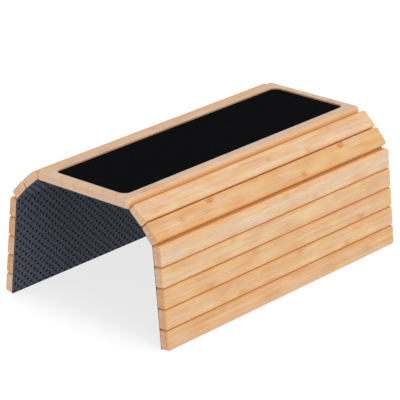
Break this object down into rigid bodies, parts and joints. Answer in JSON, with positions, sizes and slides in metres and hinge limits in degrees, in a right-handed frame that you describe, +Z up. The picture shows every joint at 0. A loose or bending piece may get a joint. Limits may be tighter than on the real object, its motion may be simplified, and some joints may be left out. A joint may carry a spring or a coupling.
{
  "type": "sofa arm tray",
  "caption": "Slatted bamboo tray that drapes over a sofa arm: an inset pad on a flat centre panel, and fabric-hinged wings that hang, spread flat or roll up.",
  "frame": {"origin": "middle of the footprint, on the surface that the wings stand on, in the pose of the picture", "axes": "+X across the sofa arm to the right, +Y along the tray away from its near end, +Z up"},
  "size_m": [0.2164, 0.35, 0.1399],
  "materials": {
    "bamboo": "satin lacquered bamboo",
    "pad_felt": "matt black felt",
    "backing_fabric": "dark blue-grey fabric with raised rubber dots"
  },
  "bodies": {
    "centre": {"centre_panel": "bamboo", "pad": "pad_felt", "backing_centre": "backing_fabric"},
    "right_1": {"slat_right_1": "bamboo", "backing_right_1": "backing_fabric"},
    "right_2": {"slat_right_2": "bamboo", "backing_right_2": "backing_fabric"},
    "right_3": {"slat_right_3": "bamboo", "backing_right_3": "backing_fabric"},
    "right_4": {"slat_right_4": "bamboo", "backing_right_4": "backing_fabric"},
    "right_5": {"slat_right_5": "bamboo", "backing_right_5": "backing_fabric"},
    "right_6": {"slat_right_6": "bamboo", "backing_right_6": "backing_fabric"},
    "right_7": {"slat_right_7": "bamboo", "backing_right_7": "backing_fabric"},
    "left_1": {"slat_left_1": "bamboo", "backing_left_1": "backing_fabric"},
    "left_2": {"slat_left_2": "bamboo", "backing_left_2": "backing_fabric"},
    "left_3": {"slat_left_3": "bamboo", "backing_left_3": "backing_fabric"},
    "left_4": {"slat_left_4": "bamboo", "backing_left_4": "backing_fabric"},
    "left_5": {"slat_left_5": "bamboo", "backing_left_5": "backing_fabric"},
    "left_6": {"slat_left_6": "bamboo", "backing_left_6": "backing_fabric"},
    "left_7": {"slat_left_7": "bamboo", "backing_left_7": "backing_fabric"}
  },
  "joints": [
    {"name": "right_hinge_1", "type": "hinge", "parent": "centre", "child": "right_1", "pos_m": [0.05945, 0, 0.13091], "axis": [0, 1, 0], "range_deg": [-40.5, 1.5]},
    {"name": "right_hinge_2", "type": "hinge", "parent": "right_1", "child": "right_2", "pos_m": [0.07511, 0, 0.11753], "axis": [0, 1, 0], "range_deg": [-7.1, 34.9]},
    {"name": "right_hinge_3", "type": "hinge", "parent": "right_2", "child": "right_3", "pos_m": [0.08901, 0, 0.10232], "axis": [0, 1, 0], "range_deg": [-36.6, 5.4]},
    {"name": "right_hinge_4", "type": "hinge", "parent": "right_3", "child": "right_4", "pos_m": [0.09109, 0, 0.08182], "axis": [0, 1, 0], "range_deg": [0, 42]},
    {"name": "right_hinge_5", "type": "hinge", "parent": "right_4", "child": "right_5", "pos_m": [0.09317, 0, 0.06133], "axis": [0, 1, 0], "range_deg": [0, 42]},
    {"name": "right_hinge_6", "type": "hinge", "parent": "right_5", "child": "right_6", "pos_m": [0.09525, 0, 0.04083], "axis": [0, 1, 0], "range_deg": [0, 42]},
    {"name": "right_hinge_7", "type": "hinge", "parent": "right_6", "child": "right_7", "pos_m": [0.09733, 0, 0.02034], "axis": [0, 1, 0], "range_deg": [0, 42]},
    {"name": "left_hinge_1", "type": "hinge", "parent": "centre", "child": "left_1", "pos_m": [-0.05945, 0, 0.13091], "axis": [0, -1, 0], "range_deg": [-40.5, 1.5]},
    {"name": "left_hinge_2", "type": "hinge", "parent": "left_1", "child": "left_2", "pos_m": [-0.07511, 0, 0.11753], "axis": [0, -1, 0], "range_deg": [-7.1, 34.9]},
    {"name": "left_hinge_3", "type": "hinge", "parent": "left_2", "child": "left_3", "pos_m": [-0.08901, 0, 0.10232], "axis": [0, -1, 0], "range_deg": [-36.6, 5.4]},
    {"name": "left_hinge_4", "type": "hinge", "parent": "left_3", "child": "left_4", "pos_m": [-0.09109, 0, 0.08182], "axis": [0, -1, 0], "range_deg": [0, 42]},
    {"name": "left_hinge_5", "type": "hinge", "parent": "left_4", "child": "left_5", "pos_m": [-0.09317, 0, 0.06133], "axis": [0, -1, 0], "range_deg": [0, 42]},
    {"name": "left_hinge_6", "type": "hinge", "parent": "left_5", "child": "left_6", "pos_m": [-0.09525, 0, 0.04083], "axis": [0, -1, 0], "range_deg": [0, 42]},
    {"name": "left_hinge_7", "type": "hinge", "parent": "left_6", "child": "left_7", "pos_m": [-0.09733, 0, 0.02034], "axis": [0, -1, 0], "range_deg": [0, 42]}
  ]
}
